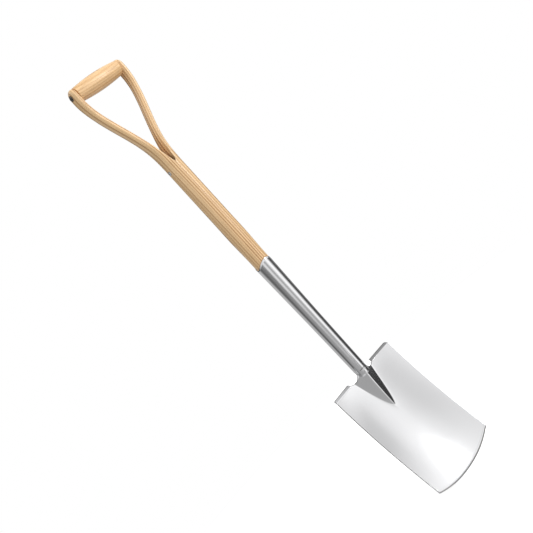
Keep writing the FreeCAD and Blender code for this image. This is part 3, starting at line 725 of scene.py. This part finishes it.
BLADE_TOP_HEIGHT, BLADE_TOP_DEPTH = 250.2, 5.1
BLADE_LENGTH, BLADE_WIDTH = 259.9, 173.0
TOP_TILT, TIP_TILT = math.radians(7.7), math.radians(22.5)
BEND = (TIP_TILT - TOP_TILT) / BLADE_LENGTH
DISH_TOP, DISH_TIP = 7.9, 6.0
FROG_HALF, FROG_LENGTH, FROG_HEIGHT = 28.0, 87.0, 18.6
SHEET = 2.0
RIM = 0.5
HALF_WIDTH = BLADE_WIDTH / 2.0 - RIM
TREAD_INNER = 36.0
TREAD_WIDTH, TREAD_LIFT = 8.4, math.radians(39.0)
FOLD_RADIUS = 3.2
FOLD_START = FOLD_RADIUS * math.tan((math.pi / 2.0 - TREAD_LIFT - TOP_TILT) / 2.0)
TREAD_ROLL = 0.75
TREAD_CORNER, TREAD_INNER_CORNER = 5.0, 1.2
FOLD_STEPS, TREAD_STEPS = 7, 16
GRIND, GRIND_DEPTH, GRIND_STEPS = 2.6, 1.1, 3
RIDGE_ROUND = 0.16

# How much the attribute darkens and dulls the blade: at its rim, top edge and back, over the
# treads' outer band and on the ground tip.
SIDE_CUT, TOP_CUT, BACK_CUT = 0.3, 0.85, 0.3
GRIND_CUTS = ((0.6,), (1.0,), (1.0,))
TREAD_CUTS = {13: 0.3, 14: 0.7, 15: 0.9, 16: 1.0}


def smooth_max(first, second, width):
    """The larger of two values, with the change from one to the other rounded over the width."""
    return (first + second + np.sqrt(np.square(first - second) + width * width)) / 2.0


def blade_frame(along):
    """Depth, height and tilt of the sheet's middle line, at a length down from the blade's top."""
    tilt = TOP_TILT + BEND * along
    depth = BLADE_TOP_DEPTH + (np.cos(tilt) - np.cos(TOP_TILT)) / BEND
    height = BLADE_TOP_HEIGHT - (np.sin(tilt) - np.sin(TOP_TILT)) / BEND
    return depth, height, tilt


def frog_rise(across, along):
    """The frog above the dished sheet, with a small fillet where it meets it."""
    left = 1.0 - np.maximum(along, 0.0) / FROG_LENGTH
    kept = np.maximum(left, 0.002)
    ratio = np.abs(across) / (FROG_HALF * kept ** 0.7)
    sharpest = math.hypot(1.0, RIDGE_ROUND) - RIDGE_ROUND
    tent = 1.0 - (np.hypot(ratio, RIDGE_ROUND) - RIDGE_ROUND) / sharpest
    bell = (1.0 - ratio ** 3) / (1.0 + (ratio / 0.46) ** 5)
    shape = mix(bell, tent, smoothstep(-14.0, 4.0, along))
    raw = (FROG_HEIGHT * kept + 0.3 * np.maximum(4.0 - along, 0.0)) * shape
    raw = raw + FROG_HEIGHT * np.minimum(left, 0.0)
    return smooth_max(raw, 0.0, 0.7) - 0.02


def tube_rise(across, along):
    """The socket's front as a height above the same sheet, falling away past its sides."""
    depth, height, tilt = blade_frame(along)
    radius = socket_radius(height) - 0.25
    inside = np.sqrt(np.maximum(radius ** 2 - np.square(across), 0.0))
    beyond = np.maximum(np.abs(across) - radius, 0.0)
    forward = (depth - (socket_axis(height) - inside)) / np.cos(tilt) - 3.0 * beyond
    return forward - 40.0 * smoothstep(-6.0, 16.0, along)


def front_point(across, along):
    """Front of the blade, for arrays of places across it and down it."""
    depth, height, tilt = blade_frame(along)
    dish = mix(DISH_TOP, DISH_TIP, along / BLADE_LENGTH)
    rise = frog_rise(across, along)
    near = smoothstep(30.0, 22.0, np.abs(across)) * smoothstep(24.0, 10.0, along)
    joined = smooth_max(rise, np.maximum(tube_rise(across, along), rise - 30.0), 3.2)
    rise = mix(rise, joined, near)
    forward = dish * np.square(2.0 * across / BLADE_WIDTH) + rise
    return np.stack([across, depth - forward * np.cos(tilt), height + forward * np.sin(tilt)],
                    axis=-1)


def top_edge(across):
    """Where the sheet starts: the collar in the middle, a relief beside it, then the folds."""
    reach = np.abs(across)
    collar = 1.0 - smoothstep(11.0, 23.0, reach)
    relief = 1.0 - smoothstep(29.0, 34.0, reach)
    start = FOLD_START * smoothstep(34.0, TREAD_INNER, reach)
    return np.where(reach >= TREAD_INNER, FOLD_START, 3.5 * relief - 11.5 * collar + start)


def tip_edge(across):
    """Where the rounded cutting edge ends the sheet."""
    return BLADE_LENGTH - RIM - 17.1 * np.abs(2.0 * across / BLADE_WIDTH) ** 2.2


def crease_reach(along):
    """Half width of the frog down the blade, kept open at its tip and spreading again below."""
    left = np.maximum(1.0 - np.maximum(along, 0.0) / FROG_LENGTH, 0.0)
    return np.maximum(FROG_HALF * left ** 0.7, 2.2 + 0.3 * np.maximum(along - FROG_LENGTH, 0.0))


def grid_places(across, parts, ground_part):
    """Places of the blade's rows and columns, with columns that follow the frog's crease."""
    reach = np.abs(across)
    places = np.tile(across, (len(parts), 1))
    blend = smoothstep(0.0, 0.05, parts)[:, None]
    for _ in range(12):
        start, end = top_edge(places), tip_edge(places) - GRIND
        along = start + (end - start) * parts[:, None] + GRIND * ground_part[:, None]
        crease = np.minimum(crease_reach(along), FROG_HALF)
        inner = reach * crease / FROG_HALF
        outer = crease + (reach - FROG_HALF) * (HALF_WIDTH - crease) / (HALF_WIDTH - FROG_HALF)
        warped = np.sign(across) * np.where(reach <= FROG_HALF, inner, outer)
        places = mix(across, warped, blend)
    return places, along


def blade_columns():
    """Places across the blade, close together along the frog's crease and the treads' ends."""
    half = [FROG_HALF * (1.0 - math.cos(math.pi * step / 44.0)) / 2.0 for step in range(45)]
    half += [28.12, 28.3, 28.55, 28.9, 29.4, 30.2, 31.4, 33.0, 34.5]
    half += list(np.linspace(TREAD_INNER, 80.0, 34)) + list(np.linspace(80.0, HALF_WIDTH, 12)[1:])
    return np.array([-x for x in half[:0:-1]] + half)


def sheet_front(across):
    """The front of the sheet below the folds, how far it is ground away, and its cut edges."""
    parts = np.concatenate([np.linspace(0.0, 0.36, 76), np.linspace(0.36, 1.0, 52)[1:],
                            [1.0] * GRIND_STEPS])
    ground_part = np.zeros(len(parts))
    ground_part[-GRIND_STEPS:] = (0.33, 0.66, 1.0)
    places, along = grid_places(across, parts, ground_part)
    ground, dark_edges_and_painted_shade = np.zeros(along.shape), np.zeros(along.shape)
    for step in range(GRIND_STEPS):
        ground[step - GRIND_STEPS] = GRIND_DEPTH * (step + 1) / GRIND_STEPS
    tip = places[-GRIND_STEPS:]
    dark_edges_and_painted_shade[-GRIND_STEPS:] = np.array(GRIND_CUTS) * mix(0.75, 1.0, smoothstep(-86.0, 0.0, tip))
    dark_edges_and_painted_shade[:-GRIND_STEPS, 0] = SIDE_CUT
    dark_edges_and_painted_shade[0] = np.maximum(dark_edges_and_painted_shade[0], np.where(np.abs(across) < TREAD_INNER, TOP_CUT, 0.0))
    return front_point(places, along), ground, dark_edges_and_painted_shade


def tread_rows(across, base):
    """One tread's rows: its base edge carried on and bent back round a small radius."""
    below = front_point(across, np.full(len(across), FOLD_START + 0.5))
    upward = unit(base - below)
    normal = unit(np.cross(upward, np.gradient(base, axis=0)))
    normal *= -np.sign(normal[:, 1:2])
    turned_from = np.arctan2(upward[:, 1], upward[:, 2])
    corner = np.maximum(np.abs(across) - (HALF_WIDTH - TREAD_CORNER), 0.0)
    inner_corner = np.maximum(TREAD_INNER + TREAD_INNER_CORNER - np.abs(across), 0.0)
    reach = TREAD_WIDTH - RIM - FOLD_START
    for radius, past in ((TREAD_CORNER, corner), (TREAD_INNER_CORNER, inner_corner)):
        reach = reach - (radius - np.sqrt(np.maximum(radius ** 2 - past ** 2, 0.0)))
    rows = []
    for step in range(1, TREAD_STEPS + 1):
        swing = (math.pi / 2.0 - TREAD_LIFT - turned_from) * min(step / FOLD_STEPS, 1.0)
        swing = swing[:, None]
        away = normal * np.cos(swing) + upward * np.sin(swing)
        place = base - normal * FOLD_RADIUS + FOLD_RADIUS * away
        if step > FOLD_STEPS:
            onward = upward * np.cos(swing) - normal * np.sin(swing)
            out = (step - FOLD_STEPS) / (TREAD_STEPS - FOLD_STEPS)
            place = place + onward * (reach * out)[:, None]
            place = place - away * (TREAD_ROLL * out ** 6)
        rows.append(place)
    return rows


def front_normals(front, faces):
    """Normals of the ungrounded front, turned to face forward, and its open edges.

    An edge is its two vertices and the middle of its only face.
    """
    work = bmesh.new()
    made = [work.verts.new(point) for point in front]
    for face in faces:
        work.faces.new([made[index] for index in face])
    work.verts.index_update()
    bmesh.ops.recalc_face_normals(work, faces=work.faces)
    work.normal_update()
    normals = np.array([vertex.normal for vertex in work.verts])
    if normals[:, 1].mean() > 0.0:
        normals = -normals
    edges = []
    for edge in work.edges:
        if len(edge.link_faces) == 1:
            middle = np.array(edge.link_faces[0].calc_center_median())
            edges.append((edge.verts[0].index, edge.verts[1].index, middle))
    work.free()
    return normals, edges


def edge_directions(front, normals, edges):
    """At each vertex of the open edges, the direction out of the sheet."""
    outward = np.zeros_like(front)
    for first, second, middle in edges:
        line = front[second] - front[first]
        away = np.cross(line, normals[first] + normals[second])
        if np.dot(away, front[first] - middle) < 0.0:
            away = -away
        outward[[first, second]] += unit(away)
    return unit(outward)


def thicken(front, drop, faces):
    """Sheet metal from its front: the front ground away by the drop, a back and a rounded rim."""
    normals, edges = front_normals(front, faces)
    outward = edge_directions(front, normals, edges)
    total = len(front)
    grounded = front - normals * drop[:, None]
    back = front - normals * SHEET
    all_faces = list(faces) + [tuple(total + index for index in face[::-1]) for face in faces]
    rim_index, rim = {}, []
    for vertex in sorted({index for edge in edges for index in edge[:2]}):
        centre = (grounded[vertex] + back[vertex]) / 2.0
        thick = np.linalg.norm(grounded[vertex] - back[vertex]) / 2.0
        rim_index[vertex] = []
        for degrees in (30.0, 60.0, 90.0, 120.0, 150.0):
            turn = math.radians(degrees)
            up = math.copysign(abs(math.cos(turn)) ** 0.6, math.cos(turn)) * thick
            out = RIM * math.sin(turn) ** 0.6
            rim_index[vertex].append(2 * total + len(rim))
            rim.append(centre + normals[vertex] * up + outward[vertex] * out)
    for first, second, _ in edges:
        left = [first] + rim_index[first] + [total + first]
        right = [second] + rim_index[second] + [total + second]
        for step in range(len(left) - 1):
            all_faces.append((left[step], right[step], right[step + 1], left[step + 1]))
    return np.concatenate([grounded, back, np.array(rim)]), all_faces


def build_blade():
    """The blade's points and faces, and how dull and dark it is at each point."""
    across = blade_columns()
    columns = len(across)
    sheet, ground, dark_edges_and_painted_shade = sheet_front(across)
    faces = []
    for row in range(len(sheet) - 1):
        for column in range(columns - 1):
            first = row * columns + column
            faces.append((first, first + 1, first + columns + 1, first + columns))
    points, cuts = [sheet.reshape(-1, 3)], [dark_edges_and_painted_shade.ravel()]
    count = dark_edges_and_painted_shade.size
    for side in (1, -1):
        chosen = [index for index, x in enumerate(across) if side * x >= TREAD_INNER - 1e-6]
        below = chosen
        for step, place in enumerate(tread_rows(across[chosen], sheet[0, chosen]), 1):
            points.append(place)
            cuts.append(np.full(len(chosen), TREAD_CUTS.get(step, 0.0)))
            row = list(range(count, count + len(chosen)))
            count += len(chosen)
            for index in range(len(chosen) - 1):
                faces.append((row[index], row[index + 1], below[index + 1], below[index]))
            below = row
    front = np.concatenate(points)
    drop = np.concatenate([ground.ravel(), np.zeros(len(front) - ground.size)])
    all_points, all_faces = thicken(front, drop, faces)
    dark_edges_and_painted_shade = np.concatenate(cuts)
    rim_cut = np.ones(len(all_points) - 2 * len(front))
    return all_points, all_faces, np.concatenate([dark_edges_and_painted_shade, BACK_CUT * dark_edges_and_painted_shade, rim_cut])


blade_points, blade_faces, blade_cut = build_blade()
add_piece("blade_sheet", blade_points, blade_faces, steel, "blade", 40.0,
          dark_edges_and_painted_shade=blade_cut)


# ---------------------------------------------------------------- weld beads behind the frog

WELD_OFFSET, WELD_HEIGHT, WELD_HALF = 9.9, 249.2, 7.0
for side, word in ((1, "right"), (-1, "left")):
    bead = [(-WELD_HALF, 0.0)]
    for step in range(1, 56):
        along = -WELD_HALF + 2.0 * WELD_HALF * step / 56.0
        bulge = math.sqrt(max(1.0 - (along / WELD_HALF) ** 4, 0.0))
        bead.append((along, (2.15 + 0.13 * math.sin(along * 4.6)) * bulge))
    bead.append((WELD_HALF, 0.0))
    bead_points, bead_faces = lathe(bead, (0, 0, 1), (side * WELD_OFFSET, 0, WELD_HEIGHT), 40)
    add_piece(f"weld_bead_{word}", bead_points, bead_faces, weld_metal, f"weld_{word}")


# ---------------------------------------------------------------- floor and light

FLOOR_RADIUS, FLOOR_LEVEL = 1.15, -0.0004
floor_mesh = bpy.data.meshes.new("studio_floor")
floor_ring = [(FLOOR_RADIUS * math.cos(math.radians(step)),
               FLOOR_RADIUS * math.sin(math.radians(step)), FLOOR_LEVEL)
              for step in range(0, 360, 5)]
floor_mesh.from_pydata(floor_ring, [], [tuple(range(len(floor_ring)))])
floor = bpy.data.objects.new("studio_floor", floor_mesh)
bpy.context.scene.collection.objects.link(floor)
g = Graph("studio_floor_paper")
paper = g.noise(g.scaled(g.node("ShaderNodeTexCoord").outputs["Object"], (60.0, 60.0, 60.0)), 1.0)
g.join(g.ramp(paper, [(0.3, (0.93, 0.93, 0.93)), (0.7, (0.96, 0.96, 0.96))]),
       g.shader.inputs["Base Color"])
g.shader.inputs["Roughness"].default_value = 0.9
floor_mesh.materials.append(g.material)
g.shader.inputs["Emission Color"].default_value = (1.0, 1.0, 1.0, 1.0)
g.shader.inputs["Emission Strength"].default_value = 0.55
floor.visible_glossy = False
floor.visible_diffuse = False

# The studio round the spade: pale and dark screens, by direction in degrees from the front, then
# how bright each is. Between them the light changes smoothly. The blade mirrors the screens above
# eye level, the top of the socket those at eye level, and its lower end and the frog those below.
# The levels were worked out from how bright the photograph's socket and blade are, then
# adjusted until the reflections matched it.
WORLD_STRENGTH = 1.25
EYE_SCREENS = [
    (-180, 0.55), (-150, 0.60), (-134, 0.56), (-117, 0.20), (-99, 0.13), (-84, 0.19), (-60, 0.23),
    (-49, 0.36), (-38, 0.92), (-26, 0.98), (-14, 0.56), (-3, 0.44), (5, 0.72), (13, 1.02),
    (24, 1.24), (40, 1.25), (47, 0.95), (56, 0.42), (66, 0.13), (78, 0.07), (92, 0.10), (102, 0.30),
    (108, 0.34), (116, 0.12), (128, 0.30), (140, 0.62), (158, 0.70),
]
LOW_SCREENS = [
    (-180, 0.5), (-134, 0.54), (-121, 0.40), (-110, 0.14), (-96, 0.13), (-86, 0.30), (-74, 0.42),
    (-50, 0.44), (-30, 0.43), (-14, 0.45), (0, 0.50), (10, 0.62), (18, 1.1), (26, 1.2), (34, 1.2),
    (40, 0.75), (46, 0.25), (56, 0.09), (70, 0.05), (86, 0.06), (98, 0.09), (108, 0.22),
    (122, 0.12), (140, 0.5),
]
HIGH_SCREENS = [
    (-180, 0.10), (-130, 0.12), (-100, 0.5), (-60, 0.8), (-20, 0.95), (0, 1.05), (12, 1.0),
    (14, 0.95), (17, 0.83), (22, 0.79), (25, 0.85), (28, 0.95), (30, 1.05), (33, 1.07), (37, 1.0),
    (39, 0.91), (41, 0.76), (43, 0.70), (47, 0.72), (52, 0.95), (70, 0.9), (100, 0.4), (130, 0.12),
]
GLOW_SCREENS = [
    (-180, 0.10), (-130, 0.12), (-100, 0.5), (-60, 0.8), (-20, 0.95), (0, 1.0), (15, 0.95),
    (21, 0.98), (26, 1.03), (30, 1.12), (50, 1.12), (70, 0.9), (100, 0.4), (130, 0.12),
]
world = bpy.data.worlds.new("studio")
bpy.context.scene.world = world
world.use_nodes = True
tree = world.node_tree
tree.nodes.clear()


class WorldGraph(Graph):
    """The same short calls on the world's node tree."""

    def __init__(self, tree):
        self.tree = tree


w = WorldGraph(tree)
direction = w.node("ShaderNodeTexCoord").outputs["Generated"]
dx, dy, dz = w.split(direction)
azimuth = w.maths("ARCTAN2", dx, w.maths("MULTIPLY", dy, -1.0))
turned = w.maths("MULTIPLY_ADD", azimuth, 1.0 / (2.0 * math.pi), 0.5)


def screen_ring(levels):
    """One ring of screens. A ramp's colours stop at 1, so the world's strength is taken out."""
    return w.ramp(turned, [((degrees + 180.0) / 360.0, level / WORLD_STRENGTH)
                           for degrees, level in levels], "EASE")


high = w.ramp(w.maths("ADD", dz, 0.02), [(0.0, 0.0), (0.05, 1.0)])
raised = w.maths("ADD", dz, w.maths("MULTIPLY_ADD", turned, 1.08, -0.6))
glow = w.ramp(raised, [(0.16, 0.0), (0.28, 1.0)])
low = w.ramp(w.maths("MULTIPLY", dz, -1.0), [(0.0, 0.0), (0.10, 0.0), (0.21, 1.0)])
overhead = w.ramp(dz, [(0.0, 0.0), (0.42, 0.0), (0.56, 1.0)])
ceiling = w.ramp(dz, [(0.5, 0.86), (0.72, 0.9), (0.86, 0.30), (1.0, 0.28)])
under = w.ramp(w.maths("MULTIPLY", dz, -1.0), [(0.0, 0.0), (0.5, 0.0), (0.8, 1.0)])
sky = w.blend("MIX", glow, screen_ring(HIGH_SCREENS), screen_ring(GLOW_SCREENS))
sky = w.blend("MIX", high, screen_ring(EYE_SCREENS), sky)
sky = w.blend("MIX", low, sky, screen_ring(LOW_SCREENS))
sky = w.blend("MIX", overhead, sky, ceiling)
sky = w.blend("MIX", under, sky, (0.62, 0.62, 0.62))
light_path = w.node("ShaderNodeLightPath").outputs["Is Camera Ray"]
seen = w.node("ShaderNodeBackground")
seen.inputs["Color"].default_value = (1.0, 1.0, 1.0, 1.0)
seen.inputs["Strength"].default_value = 1.0
lit = w.node("ShaderNodeBackground")
w.join(sky, lit.inputs["Color"])
lit.inputs["Strength"].default_value = WORLD_STRENGTH
choice = w.node("ShaderNodeMixShader")
w.join(light_path, choice.inputs[0])
w.join(lit.outputs[0], choice.inputs[1])
w.join(seen.outputs[0], choice.inputs[2])
w.join(choice.outputs[0], w.node("ShaderNodeOutputWorld").inputs["Surface"])


def softbox(name, azimuth_degrees, elevation_degrees, distance, width, height, power, glossy):
    """A rectangular area light that faces the middle of the spade."""
    data = bpy.data.lights.new(name, "AREA")
    data.shape = "RECTANGLE"
    data.size, data.size_y = width, height
    data.energy = power
    lamp = bpy.data.objects.new(name, data)
    bpy.context.scene.collection.objects.link(lamp)
    a, e = math.radians(azimuth_degrees), math.radians(elevation_degrees)
    back = Vector((math.sin(a) * math.cos(e), -math.cos(a) * math.cos(e), math.sin(e)))
    aim = Vector((0.0, AXIS_Y, 0.5))
    lamp.location = aim + back * distance
    lamp.rotation_euler = back.to_track_quat("Z", "Y").to_euler()
    lamp.visible_glossy = glossy


softbox("key_strip", 33.0, 18.9, 2.54, 0.22, 1.36, 15.0, True)
softbox("top_fill", 20.0, 62.0, 2.4, 1.8, 1.8, 17.0, False)

# ---------------------------------------------------------------- camera

CAMERA_AZIMUTH = math.radians(31.0025)
CAMERA_ELEVATION = 0.0598177
CAMERA_ROLL = -0.739054
CAMERA_DISTANCE = 1.53465
TARGET_SIDE, TARGET_HEIGHT = 0.001198, 0.52138
CAMERA_LENS, SENSOR = 55.50606, 36.0

back = Vector((-math.sin(CAMERA_AZIMUTH) * math.cos(CAMERA_ELEVATION),
               -math.cos(CAMERA_AZIMUTH) * math.cos(CAMERA_ELEVATION),
               math.sin(CAMERA_ELEVATION)))
target = Vector((TARGET_SIDE * math.cos(CAMERA_AZIMUTH),
                 AXIS_Y - TARGET_SIDE * math.sin(CAMERA_AZIMUTH), LIFT + TARGET_HEIGHT))
right = (-back).cross(Vector((0, 0, 1))).normalized()
upward = right.cross(-back)
camera_x = math.cos(CAMERA_ROLL) * right + math.sin(CAMERA_ROLL) * upward
camera_y = -math.sin(CAMERA_ROLL) * right + math.cos(CAMERA_ROLL) * upward
camera_data = bpy.data.cameras.new("camera")
camera_data.sensor_width = SENSOR
camera_data.lens = CAMERA_LENS
camera = bpy.data.objects.new("camera", camera_data)
bpy.context.scene.collection.objects.link(camera)
place = Matrix((camera_x, camera_y, back)).transposed().to_4x4()
place.translation = target + back * CAMERA_DISTANCE
camera.matrix_world = place
bpy.context.scene.camera = camera
bpy.context.scene.view_settings.view_transform = "Standard"
